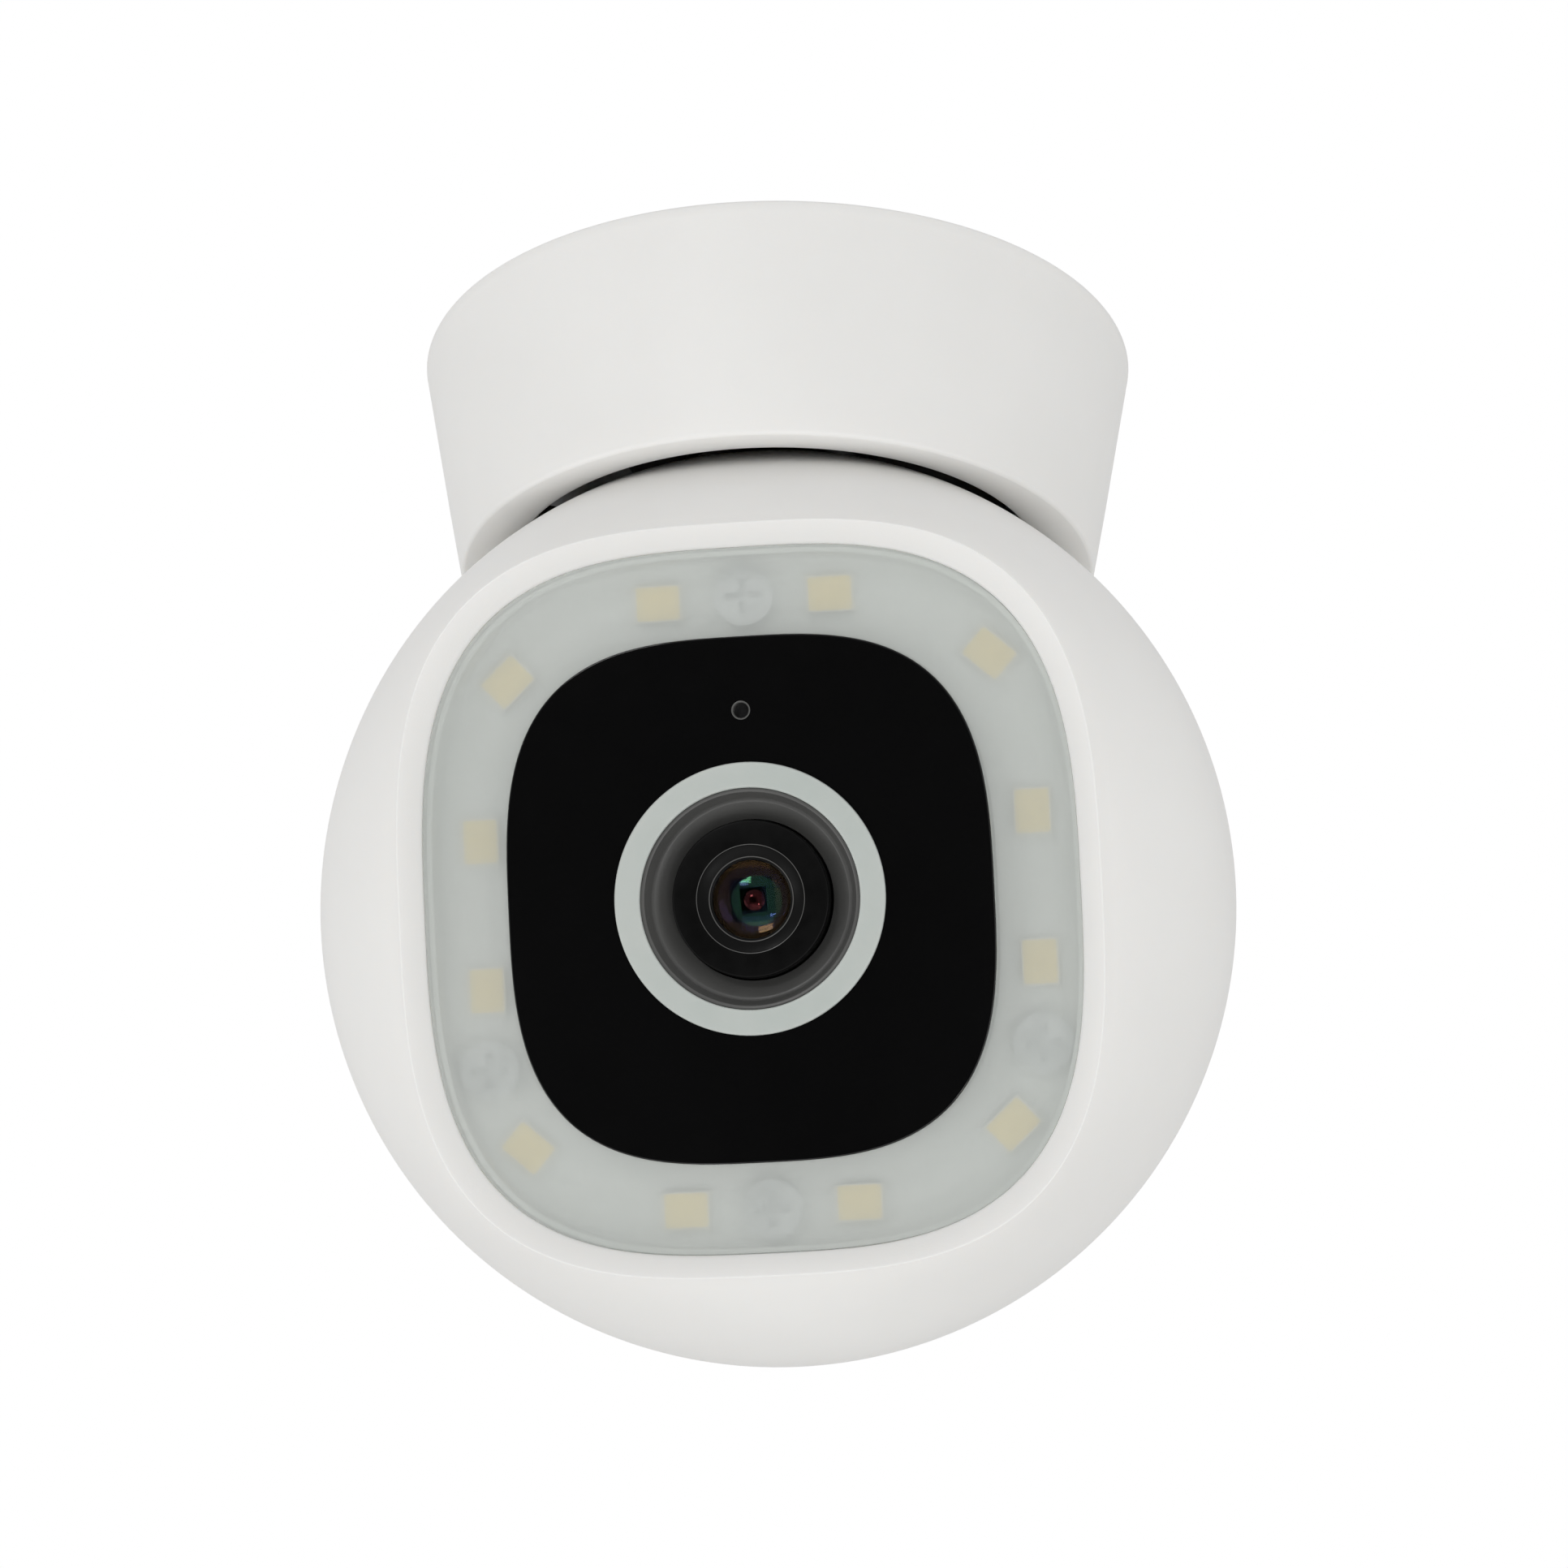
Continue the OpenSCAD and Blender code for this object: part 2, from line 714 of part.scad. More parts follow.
module image_sensor() {
    color([0.15, 0.17, 0.22]) lens_frame() translate([-4, -3.25, frame_back])
        cube([8, 6.5, 1.2]);
}

module microphone() {
    color([0.75, 0.62, 0.35]) lens_frame() translate([0, mic_y, window_back - 1.4])
        cylinder(r = 1.8, h = 1.4);
}

module light_baffle() {
    color(dark_c) lens_frame() translate([0, 0, led_face]) difference() {
        rounded_plate(window_w - 0.4, window_h - 0.4, window_back - led_face);
        translate([0, 0, -1]) rounded_plate(window_w - 2.8, window_h - 2.8, 8);
    }
}

module led_board() {
    color([0.86, 0.86, 0.84]) lens_frame() translate([0, 0, led_face - led_board_t]) difference() {
        rounded_plate(face_w - 4, face_h - 4, led_board_t);
        translate([0, 0, -1]) cylinder(r = 8.5, h = 3);
        for (p = led_screw_at) translate([p.x, p.y, -1]) cylinder(r = 0.9, h = 3);
    }
}

module floodlight_leds() {
    color([0.9, 0.82, 0.5]) lens_frame() for (p = led_at) translate([p.x, p.y, led_face])
        rotate([0, 0, p[2]]) difference() {
            translate([-led_l / 2, -led_w / 2, 0]) cube([led_l, led_w, 0.8]);
            translate([0, 0, 0.6]) cylinder(r = 1.1, h = 1);
        }
}

module led_screws() {
    color(steel_c) lens_frame() for (p = led_screw_at) translate([p.x, p.y, led_face])
        screw(2.25, 1.2, 0.9, 4);
}

module heat_spreader() {
    color([0.7, 0.71, 0.72]) lens_frame()
        translate([0, 0, led_face - led_board_t - spreader_t]) difference() {
            rounded_plate(face_w - 5, face_h - 5, spreader_t);
            translate([0, 0, -1]) cylinder(r = 11, h = 4);
            for (p = led_screw_at) translate([p.x, p.y, -1]) cylinder(r = 0.9, h = 4);
        }
}

module main_board() {
    color(board_c) lens_frame() difference() {
        translate([-13, -20, board_front - board_t]) cube([26, 34, board_t]);
        for (p = pillar_at) translate([p.x, p.y, -5]) cylinder(r = 0.8, h = 8);
    }
}

module processor() {
    color(dark_c) lens_frame() translate([-6, -6, board_front]) cube([12, 12, 1.4]);
}

module radio_shield() {
    color(steel_c) lens_frame() translate([-8, -14, board_front - board_t - 1.6])
        cube([16, 11, 1.6]);
}

module board_screws() {
    color(steel_c) lens_frame() for (p = pillar_at)
        translate([p.x, p.y, board_front - board_t]) rotate([180, 0, 0])
            screw(1.5, 0.9, 0.8, 4.4);
}

module card_board() {
    color(board_c) lens_frame() {
        rear_port(card_side) translate([-8, -2.2, 17]) cube([16, 1, 14]);
    }
}

module card_socket() {
    color(steel_c) lens_frame() rear_port(card_side) difference() {
        translate([-7, -1.2, 17]) cube([14, 2.4, 14.2]);
        translate([-5.7, -0.6, 18]) cube([11.4, 1.2, 14]);
    }
}

module reset_switch() {
    color(dark_c) lens_frame() rear_port(button_side) {
        translate([-2, -2, 27]) cube([4, 4, 2.4]);
        translate([0, 0, 29.4]) cylinder(r = 0.9, h = 0.7);
    }
}

module reset_button() {
    color(white_c) lens_frame() rear_port(button_side) {
        translate([0, 0, 31]) cylinder(r = button_r, h = 3.75);
        translate([0, 0, 31]) cylinder(r = 2.3, h = 0.9);
    }
}

mounting_plate();
ceiling_gasket();
collar();
base_chassis();
chassis_screws();
lock_screws();
power_board();
power_inlet();
speaker();
antenna();
pan_motor();
pan_bearing();
pan_pinion();
turret_neck();
pan_gear();
retaining_ring();
yoke();
yoke_screws();
yoke_bushes();
tilt_motor();
tilt_pinion();
head_frame();
pivot_pins();
spacer_washer();
tilt_gear();
front_shell();
rear_shell();
shell_ring();
diffuser();
front_window();
status_ring();
lens_bezel();
lens_barrel();
lens_glass();
lens_holder();
sensor_board();
image_sensor();
microphone();
light_baffle();
led_board();
floodlight_leds();
led_screws();
heat_spreader();
main_board();
processor();
radio_shield();
board_screws();
card_board();
card_socket();
reset_switch();
reset_button();
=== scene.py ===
"""Looks of the ceiling floodlight camera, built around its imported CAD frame."""
import json
import math

import bmesh
import bpy
from mathutils import Matrix, Vector

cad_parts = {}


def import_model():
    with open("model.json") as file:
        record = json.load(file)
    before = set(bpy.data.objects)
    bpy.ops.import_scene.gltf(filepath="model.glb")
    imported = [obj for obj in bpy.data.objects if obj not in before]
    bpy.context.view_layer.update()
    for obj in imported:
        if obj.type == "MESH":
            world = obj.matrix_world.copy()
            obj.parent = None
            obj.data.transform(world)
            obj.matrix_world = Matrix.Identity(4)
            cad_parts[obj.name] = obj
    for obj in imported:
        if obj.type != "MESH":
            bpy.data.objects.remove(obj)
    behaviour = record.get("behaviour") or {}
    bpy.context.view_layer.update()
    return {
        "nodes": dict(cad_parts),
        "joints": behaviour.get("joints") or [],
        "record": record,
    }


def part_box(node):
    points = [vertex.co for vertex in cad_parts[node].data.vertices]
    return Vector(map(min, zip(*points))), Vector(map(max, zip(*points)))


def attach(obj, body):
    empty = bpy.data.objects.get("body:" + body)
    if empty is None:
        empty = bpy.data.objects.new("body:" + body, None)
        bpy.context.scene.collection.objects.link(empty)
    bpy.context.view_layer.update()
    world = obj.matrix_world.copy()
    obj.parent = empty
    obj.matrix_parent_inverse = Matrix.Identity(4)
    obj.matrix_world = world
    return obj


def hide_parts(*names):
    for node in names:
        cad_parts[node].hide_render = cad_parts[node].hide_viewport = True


MM = 0.001
SQUARENESS = 3.1        # exponent of the rounded-square face outline, as in the CAD
REST_TILT = 20.0        # degrees below level that the lens points at rest
AROUND = 240            # steps round a lofted piece
SHARP_ANGLE = 35.0      # degrees, edges sharper than this stay crisp

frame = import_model()
joints = {j["name"]: j for j in frame["joints"]}
head_centre = Vector(joints["tilt"]["pos_m"])

# Lens frame: z forward along the lens axis, y up, x across, origin at the ball centre
LENS = Matrix.Translation(head_centre) @ Matrix.Rotation(math.radians(90 + REST_TILT), 4, "X")


# ---------- reading the frame ----------

def lens_box(node):
    """Lowest and highest corner of a CAD node in the lens frame."""
    inverse = LENS.inverted()
    points = [inverse @ v.co for v in frame["nodes"][node].data.vertices]
    low = Vector([min(p[i] for p in points) for i in range(3)])
    high = Vector([max(p[i] for p in points) for i in range(3)])
    return low, high


def half_size(node):
    low, high = lens_box(node)
    return (high.x - low.x) / 2, (high.y - low.y) / 2


# ---------- mesh tools ----------

def new_object(name, bm, matrix=None):
    """Links a smooth-shaded object made from bm, and frees bm."""
    if matrix is not None:
        bm.transform(matrix)
    bmesh.ops.recalc_face_normals(bm, faces=bm.faces[:])
    mesh = bpy.data.meshes.new(name)
    bm.to_mesh(mesh)
    bm.free()
    obj = bpy.data.objects.new(name, mesh)
    bpy.context.scene.collection.objects.link(obj)
    shade(obj)
    return obj


def shade(obj):
    obj.data.shade_smooth()
    obj.data.set_sharp_from_angle(angle=math.radians(SHARP_ANGLE))


def rounded(t, a, b):
    """Distance from the centre to the rounded square of half sizes a and b at angle t."""
    x = abs(math.cos(t) / a) ** SQUARENESS
    y = abs(math.sin(t) / b) ** SQUARENESS
    return (x + y) ** (-1 / SQUARENESS)


def square_ring(a, b, z):
    return lambda t: (rounded(t, a, b), z)


def round_ring(r, z):
    return lambda t: (r, z)


def loft(name, rings, matrix=None, steps=AROUND, closed=True):
    """Surface through rings, each a function of the angle that gives radius and height.
    closed joins the last ring to the first; otherwise the two ends are capped."""
    bm = bmesh.new()
    rows = []
    for ring in rings:
        row = []
        for i in range(steps):
            t = 2 * math.pi * i / steps
            r, z = ring(t)
            row.append(bm.verts.new((r * math.cos(t), r * math.sin(t), z)))
        rows.append(row)
    pairs = list(zip(rows, rows[1:])) + ([(rows[-1], rows[0])] if closed else [])
    for low, high in pairs:
        for i in range(steps):
            j = (i + 1) % steps
            bm.faces.new((low[i], low[j], high[j], high[i]))
    if not closed:
        bm.faces.new(rows[0][::-1])
        bm.faces.new(rows[-1])
    return new_object(name, bm, matrix)


def lathe(name, profile, matrix=None, steps=AROUND, closed=True):
    """Surface of revolution of a profile of radius and height pairs."""
    rings = [round_ring(r, z) for r, z in profile]
    return loft(name, rings, matrix, steps, closed)


def arc(cx, cy, r, start, end, count=6):
    """Points of an arc in degrees, for a rounded corner of a profile."""
    out = []
    for i in range(count + 1):
        a = math.radians(start + (end - start) * i / count)
        out.append((cx + r * math.cos(a), cy + r * math.sin(a)))
    return out


def circle_points(r, steps):
    angles = [2 * math.pi * i / steps for i in range(steps)]
    return [(r * math.cos(a), r * math.sin(a)) for a in angles]


def prism(bm, points, low, high, matrix):
    """Upright solid on a flat outline, from low to high along z."""
    rows = [[bm.verts.new(matrix @ Vector((x, y, z))) for x, y in points] for z in (low, high)]
    for i in range(len(points)):
        j = (i + 1) % len(points)
        bm.faces.new((rows[0][i], rows[0][j], rows[1][j], rows[1][i]))
    bm.faces.new(rows[0][::-1])
    bm.faces.new(rows[1])


def cut(obj, build):
    """Cuts the solids that build adds to a mesh out of obj."""
    bm = bmesh.new()
    build(bm)
    tool = new_object(obj.name + "_tool", bm)
    boolean = obj.modifiers.new("cut", "BOOLEAN")
    boolean.operation = "DIFFERENCE"
    boolean.solver = "EXACT"
    boolean.object = tool
    depsgraph = bpy.context.evaluated_depsgraph_get()
    mesh = bpy.data.meshes.new_from_object(obj.evaluated_get(depsgraph))
    obj.modifiers.clear()
    spent = (obj.data, tool.data)
    bpy.data.objects.remove(tool)
    obj.data = mesh
    for old in spent:
        bpy.data.meshes.remove(old)
    shade(obj)


# ---------- materials ----------

class Nodes:
    """Short names for building a Principled material."""

    def __init__(self, name):
        self.material = bpy.data.materials.new(name)
        self.material.use_nodes = True
        self.tree = self.material.node_tree
        self.shader = self.tree.nodes["Principled BSDF"]
        self.place = self.tree.nodes.new("ShaderNodeTexCoord").outputs["Object"]

    def set(self, **values):
        """Even values for the shader's sockets, named with _ for each space."""
        for key, value in values.items():
            self.shader.inputs[key.replace("_", " ")].default_value = value
        return self

    def noise(self, scale, detail=3.0):
        node = self.tree.nodes.new("ShaderNodeTexNoise")
        node.inputs["Scale"].default_value = scale
        node.inputs["Detail"].default_value = detail
        self.tree.links.new(self.place, node.inputs["Vector"])
        return node.outputs["Fac"]

    def spread(self, source, low, high):
        """Maps a noise, mostly between 0.3 and 0.7, to low to high."""
        node = self.tree.nodes.new("ShaderNodeMapRange")
        node.inputs["From Min"].default_value = 0.3
        node.inputs["From Max"].default_value = 0.7
        node.inputs["To Min"].default_value = low
        node.inputs["To Max"].default_value = high
        self.tree.links.new(source, node.inputs["Value"])
        return node.outputs["Result"]

    def colours(self, source, first, second):
        node = self.tree.nodes.new("ShaderNodeMix")
        node.data_type = "RGBA"
        node.inputs["A"].default_value = (*first, 1)
        node.inputs["B"].default_value = (*second, 1)
        factor = self.spread(source, 0.0, 1.0)
        self.tree.links.new(factor, node.inputs["Factor"])
        self.tree.links.new(node.outputs["Result"], self.shader.inputs["Base Color"])
        return self

    def roughness(self, source, low, high):
        self.tree.links.new(self.spread(source, low, high), self.shader.inputs["Roughness"])
        return self

    def bump(self, source, depth, strength=0.5):
        node = self.tree.nodes.new("ShaderNodeBump")
        node.inputs["Strength"].default_value = strength
        node.inputs["Distance"].default_value = depth
        self.tree.links.new(source, node.inputs["Height"])
        self.tree.links.new(node.outputs["Normal"], self.shader.inputs["Normal"])
        return self


def white_plastic():
    """Satin off-white moulding with a fine spark-eroded texture."""
    m = Nodes("white_plastic").set(IOR=1.46, Subsurface_Weight=0.25, Subsurface_Scale=1.0)
    m.set(Subsurface_Radius=(0.002, 0.0018, 0.0016))
    m.colours(m.noise(90), (0.845, 0.838, 0.82), (0.865, 0.858, 0.84))
    m.roughness(m.noise(600, 4), 0.42, 0.5)
    m.bump(m.noise(5200, 2), 0.00003, 0.25)
    return m.material


def frosted():
    """Milky satin sheet that the lamps show through."""
    m = Nodes("frosted_diffuser").set(IOR=1.4, Transmission_Weight=0.4, Alpha=0.42)
    m.colours(m.noise(60), (0.9, 0.94, 0.91), (0.92, 0.955, 0.925))
    m.roughness(m.noise(900, 3), 0.34, 0.4)
    m.bump(m.noise(2600, 2), 0.000004, 0.1)
    return m.material


def black_gloss():
    m = Nodes("black_window").set(IOR=1.42)
    m.colours(m.noise(50), (0.0026, 0.0026, 0.0027), (0.0034, 0.0034, 0.0035))
    m.roughness(m.noise(400, 3), 0.06, 0.1)
    m.bump(m.noise(500, 2), 0.000002, 0.05)
    return m.material


def pale_ring():
    m = Nodes("ring_light_guide").set(IOR=1.45, Subsurface_Weight=0.2, Subsurface_Scale=1.0)
    m.set(Subsurface_Radius=(0.001, 0.0012, 0.0013))
    m.colours(m.noise(160), (0.49, 0.53, 0.505), (0.53, 0.56, 0.535))
    m.roughness(m.noise(700, 3), 0.3, 0.4)
    m.bump(m.noise(3600, 2), 0.00002, 0.2)
    return m.material


def dull(name, first, second, rough=(0.4, 0.55), grain=3200, depth=0.00003, index=1.48):
    m = Nodes(name).set(IOR=index)
    m.colours(m.noise(120), first, second)
    m.roughness(m.noise(800, 3), *rough)
    m.bump(m.noise(grain, 2), depth, 0.3)
    return m.material


def metal(name, first, second, rough=(0.22, 0.36)):
    m = Nodes(name).set(Metallic=1.0)
    m.colours(m.noise(900), first, second)
    m.roughness(m.noise(500, 4), *rough)
    m.bump(m.noise(1800, 3), 0.00001, 0.3)
    return m.material


def coated_glass():
    """Optical glass whose anti-reflection film leaves only faint coloured reflections."""
    m = Nodes("lens_glass").set(Transmission_Weight=1.0, IOR=1.5)
    m.set(Thin_Film_Thickness=115.0, Thin_Film_IOR=1.3)
    m.colours(m.noise(40), (0.97, 0.98, 0.97), (0.99, 1, 0.99))
    m.roughness(m.noise(30), 0.0, 0.004)
    return m.material


def lens_element(name, colour):
    """Dark inner lens element whose coating throws a coloured highlight."""
    m = Nodes(name).set(IOR=1.4, Specular_Tint=(*colour, 1))
    m.colours(m.noise(500), [c * 0.001 for c in colour], [c * 0.004 for c in colour])
    m.roughness(m.noise(60), 0.03, 0.05)
    return m.material


def make_materials():
    return {
        "white_plastic": white_plastic(),
        "frosted_diffuser": frosted(),
        "black_window": black_gloss(),
        "ring_light_guide": pale_ring(),
        "bezel_grey": dull("bezel_grey", (0.075, 0.075, 0.073), (0.09, 0.09, 0.086), (0.3, 0.4)),
        "lens_black": dull("lens_black", (0.002, 0.002, 0.002), (0.003, 0.003, 0.003), (0.3, 0.4), 900,
                           0.000004, 1.2),
        "lens_glass": coated_glass(),
        "element_green": lens_element("element_green", (0.3, 1.0, 0.5)),
        "element_red": lens_element("element_red", (1.0, 0.22, 0.25)),
        "led_phosphor": dull("led_phosphor", (0.9, 0.68, 0.2), (0.94, 0.73, 0.26), (0.45, 0.6)),
        "board_white": dull("board_white", (0.76, 0.77, 0.75), (0.8, 0.81, 0.79), (0.25, 0.35)),
        "board_green": dull("board_green", (0.01, 0.09, 0.04), (0.015, 0.12, 0.055), (0.25, 0.4)),
        "chip_black": dull("chip_black", (0.012, 0.012, 0.013), (0.02, 0.02, 0.021)),
        "dark_plastic": dull("dark_plastic", (0.02, 0.02, 0.022), (0.03, 0.03, 0.032)),
        "cast_metal": metal("cast_metal", (0.5, 0.51, 0.52), (0.6, 0.61, 0.62), (0.4, 0.55)),
        "steel": metal("steel", (0.64, 0.65, 0.66), (0.74, 0.75, 0.76), (0.34, 0.46)),
        "brass": metal("brass", (0.62, 0.44, 0.18), (0.72, 0.53, 0.24)),
        "nylon": dull("nylon", (0.66, 0.63, 0.52), (0.7, 0.67, 0.56)),
        "foam": dull("foam", (0.01, 0.01, 0.011), (0.02, 0.02, 0.021), (0.7, 0.9), 1500, 0.0002),
    }


def paint(obj, material):
    obj.data.materials.clear()
    obj.data.materials.append(material)


def paint_cad_nodes(materials):
    for part in frame["record"]["subparts"]:
        node = frame["nodes"][part["node"]]
        material = materials[part["material_slot"]]
        if not node.data.materials:
            node.data.materials.append(material)
        for i in range(len(node.material_slots)):
            node.material_slots[i].material = material


def follow(obj, body, material):
    """obj has no CAD node of its own and moves with a body."""
    paint(obj, material)
    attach(obj, body)


def place(obj, node, body, material):
    """obj stands for a CAD node and moves with its body."""
    follow(obj, body, material)
    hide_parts(node)


# ---------- ball ----------

WALL = 2 * MM
SEAM_Z = -6 * MM                # where the front and rear shells meet
LOFT_Z = 4 * MM                 # where the front shell leaves the sphere
HEAD_R = math.hypot(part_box("rear_shell")[1].x, SEAM_Z) - 0.02 * MM     # just inside the CAD
CUT_FROM, CUT_TO = 28, 38       # millimetres from the ball centre, right through the wall
SLOT_HALF = 5.4 * MM
SLOT_FROM, SLOT_TO = 89.6, 180.4        # degrees from the lens axis, over the top
PORT_DROP = 42.0                        # degrees below straight back
CARD_SIDE, BUTTON_SIDE = -9.0, 17.0     # degrees across


def ball_radius(z, t, rim, reach):
    """Outside of the ball at height z and angle t: a sphere that blends into the face rim."""
    if z <= LOFT_Z:
        return math.sqrt(HEAD_R * HEAD_R - z * z)
    start = math.sqrt(HEAD_R * HEAD_R - LOFT_Z * LOFT_Z)
    slope = -LOFT_Z / start
    run = reach - LOFT_Z
    u = z - LOFT_Z
    return start + slope * u + (rounded(t, *rim) - start - slope * run) * (u / run) ** 2


def neck_slot(bm):
    """Curved bar with round ends that the neck passes along, from straight up to straight back."""
    cap = math.degrees(SLOT_HALF / HEAD_R)
    angles = [SLOT_FROM - cap * math.cos(math.radians(7.5 * i)) for i in range(12)]
    angles += [SLOT_FROM + (SLOT_TO - SLOT_FROM) * i / 60 for i in range(61)]
    angles += [SLOT_TO + cap * math.sin(math.radians(7.5 * i)) for i in range(1, 13)]
    rows = []
    for angle in angles:
        past = max(SLOT_FROM - angle, angle - SLOT_TO, 0) / cap
        half = SLOT_HALF * math.sqrt(max(1 - past * past, 0.0004))
        a = math.radians(angle)
        out = Vector((0, math.sin(a), math.cos(a)))
        corners = ((-half, CUT_FROM), (half, CUT_FROM), (half, CUT_TO), (-half, CUT_TO))
        rows.append([bm.verts.new(LENS @ (out * r * MM + Vector((x, 0, 0)))) for x, r in corners])
    for near, far in zip(rows, rows[1:]):
        for i in range(4):
            j = (i + 1) % 4
            bm.faces.new((near[i], near[j], far[j], far[i]))
    bm.faces.new(rows[0][::-1])
    bm.faces.new(rows[-1])


def front_shell(materials):
    low, high = lens_box("diffuser")
    reach = lens_box("front_shell")[1].z
    lip = [d + 0.05 * MM for d in half_size("diffuser")]
    rim = [d + 1.7 * MM for d in lip]
    face_z = high.z + 0.2 * MM
    inner_front = 12.4 * MM

    def outside(z, inset=0.0):
        return lambda t: (ball_radius(z, t, rim, reach) - inset, z)

    def crease(inset, drop):
        return lambda t: (rounded(t, *rim) - inset, reach - drop)

    steps = 44
    groove = 0.12 * MM
    rings = [outside(SEAM_Z, groove)]
    for k in range(steps):
        rings.append(outside(SEAM_Z + groove + (reach - 0.3 * MM - SEAM_Z) * k / steps))
    rings += [crease(-0.02 * MM, 0.1 * MM), crease(0.03 * MM, 0.02 * MM), crease(0.12 * MM, 0.01 * MM)]
    rings += [crease(0.25 * MM, 0.09 * MM)]
    rings += [square_ring(lip[0] + 0.15 * MM, lip[1] + 0.15 * MM, face_z + 0.11 * MM)]
    rings += [square_ring(lip[0] + 0.03 * MM, lip[1] + 0.03 * MM, face_z - 0.03 * MM)]
    rings += [square_ring(*lip, face_z - 0.12 * MM), square_ring(*lip, low.z - 0.4 * MM)]
    rings += [outside(inner_front + (SEAM_Z - inner_front) * k / 16, WALL) for k in range(17)]
    obj = loft("front_shell_skin", rings, LENS)
    cut(obj, neck_slot)
    place(obj, "front_shell", "head", materials["white_plastic"])


def port(side):
    """Straight out of the ball, low at the back, turned side degrees across."""
    drop = Matrix.Rotation(math.radians(180 - PORT_DROP), 4, "X")
    return LENS @ drop @ Matrix.Rotation(math.radians(side), 4, "Y")


def rear_cuts(bm):
    """Neck slot, card slot and button hole."""
    neck_slot(bm)
    half_w, half_t = 6.2 * MM, 0.8 * MM
    corners = [(x * half_w, y * half_t) for x, y in ((-1, -1), (1, -1), (1, 1), (-1, 1))]
    prism(bm, corners, CUT_FROM * MM, CUT_TO * MM, port(CARD_SIDE))
    prism(bm, circle_points(1.58 * MM, 48), CUT_FROM * MM, CUT_TO * MM, port(BUTTON_SIDE))


def rear_shell(materials):
    inner_r = HEAD_R - WALL
    pole = math.pi - 0.004      # just short of the axis
    groove = 0.12 * MM
    steps = 56
    profile = [(math.sqrt(HEAD_R ** 2 - SEAM_Z ** 2) - groove, SEAM_Z)]
    first = math.acos((SEAM_Z - groove) / HEAD_R)
    for k in range(steps + 1):
        a = first + (pole - first) * k / steps
        profile.append((HEAD_R * math.sin(a), HEAD_R * math.cos(a)))
    first = math.acos(SEAM_Z / inner_r)
    for k in range(steps // 2, -1, -1):
        a = first + (pole - first) * k / (steps // 2)
        profile.append((inner_r * math.sin(a), inner_r * math.cos(a)))
    obj = lathe("rear_shell_skin", profile, LENS)
    cut(obj, rear_cuts)
    place(obj, "rear_shell", "head", materials["white_plastic"])


def reset_button(materials):
    r, top, soft = 1.5 * MM, 34.75 * MM, 0.3 * MM
    profile = [(2.3 * MM, 31 * MM), (2.3 * MM, 31.9 * MM), (r, 31.9 * MM)]
    profile += arc(r - soft, top - soft, soft, 0, 90)
    profile += [(0.9 * MM, top - 0.05 * MM), (0.5 * MM, top - 0.15 * MM), (0.05 * MM, top - 0.18 * MM)]
    obj = lathe("reset_button_cap", profile, port(BUTTON_SIDE), 64, closed=False)
    place(obj, "reset_button", "reset_button", materials["white_plastic"])


# ---------- face ----------

MIC_R = 0.7 * MM
LAMP_HALF = (1.75, 1.4)     # half sides of a lamp package, in millimetres


def diffuser(materials):
    low, high = lens_box("diffuser")
    a, b = [d + 0.04 * MM for d in half_size("diffuser")]
    c, d = [d + 0.01 * MM for d in half_size("front_window")]
    soft = 0.08 * MM
    rings = [square_ring(a, b, low.z), square_ring(a, b, high.z - soft)]
    rings += [square_ring(a - soft * 0.3, b - soft * 0.3, high.z - soft * 0.3)]
    rings += [square_ring(a - soft, b - soft, high.z), square_ring((a + c) / 2, (b + d) / 2, high.z)]
    rings += [square_ring(c, d, high.z), square_ring(c, d, low.z)]
    obj = loft("diffuser_panel", rings, LENS)
    place(obj, "diffuser", "head", materials["frosted_diffuser"])


def chamber_frame(materials):
    """Pale frame behind the diffuser that closes the gap between the lamp board and the shell."""
    back = lens_box("diffuser")[0].z - 0.02 * MM
    board = lens_box("led_board")[1].z + 0.02 * MM
    a, b = half_size("diffuser")
    wall = 0.4 * MM
    rings = [square_ring(a, b, board), square_ring(a, b, back)]
    rings += [square_ring(a - wall, b - wall, back), square_ring(a - wall, b - wall, board)]
    obj = loft("chamber_frame", rings, LENS)
    follow(obj, "head", materials["board_white"])


def front_window(materials):
    low, high = lens_box("front_window")
    a, b = half_size("front_window")
    ring_r = half_size("status_ring")[0] + 0.02 * MM
    soft = 0.1 * MM
    rings = [square_ring(a, b, low.z), square_ring(a, b, high.z - soft)]
    for r, z in arc(-soft, -soft, soft, 12, 90, 5):
        rings.append(square_ring(a + r, b + r, high.z + z))
    rings += [round_ring(ring_r, high.z), round_ring(ring_r, low.z)]
    obj = loft("window_plate", rings, LENS)
    mic_low, mic_high = lens_box("microphone")
    mic_y = (mic_low.y + mic_high.y) / 2
    aim = LENS @ Matrix.Translation((0, mic_y, 0))
    cut(obj, lambda bm: prism(bm, circle_points(MIC_R, 40), low.z - MM, high.z + MM, aim))
    place(obj, "front_window", "head", materials["black_window"])
    microphone_trim(aim, high.z, materials)


def microphone_trim(aim, z, materials):
    """Rim of the microphone hole, and the dark mesh at its bottom."""
    mesh = lathe("microphone_mesh", [(MIC_R, z - 1.15 * MM), (MIC_R, z - 0.95 * MM)], aim, 48, closed=False)
    follow(mesh, "head", materials["foam"])
    inner_r = MIC_R - 0.12 * MM
    profile = [(inner_r, z - MM), (MIC_R, z - MM), (MIC_R, z + 0.01 * MM)]
    profile += [(MIC_R - 0.06 * MM, z + 0.02 * MM), (inner_r, z - 0.05 * MM)]
    rim = lathe("microphone_rim", profile, aim, 48)
    follow(rim, "head", materials["bezel_grey"])


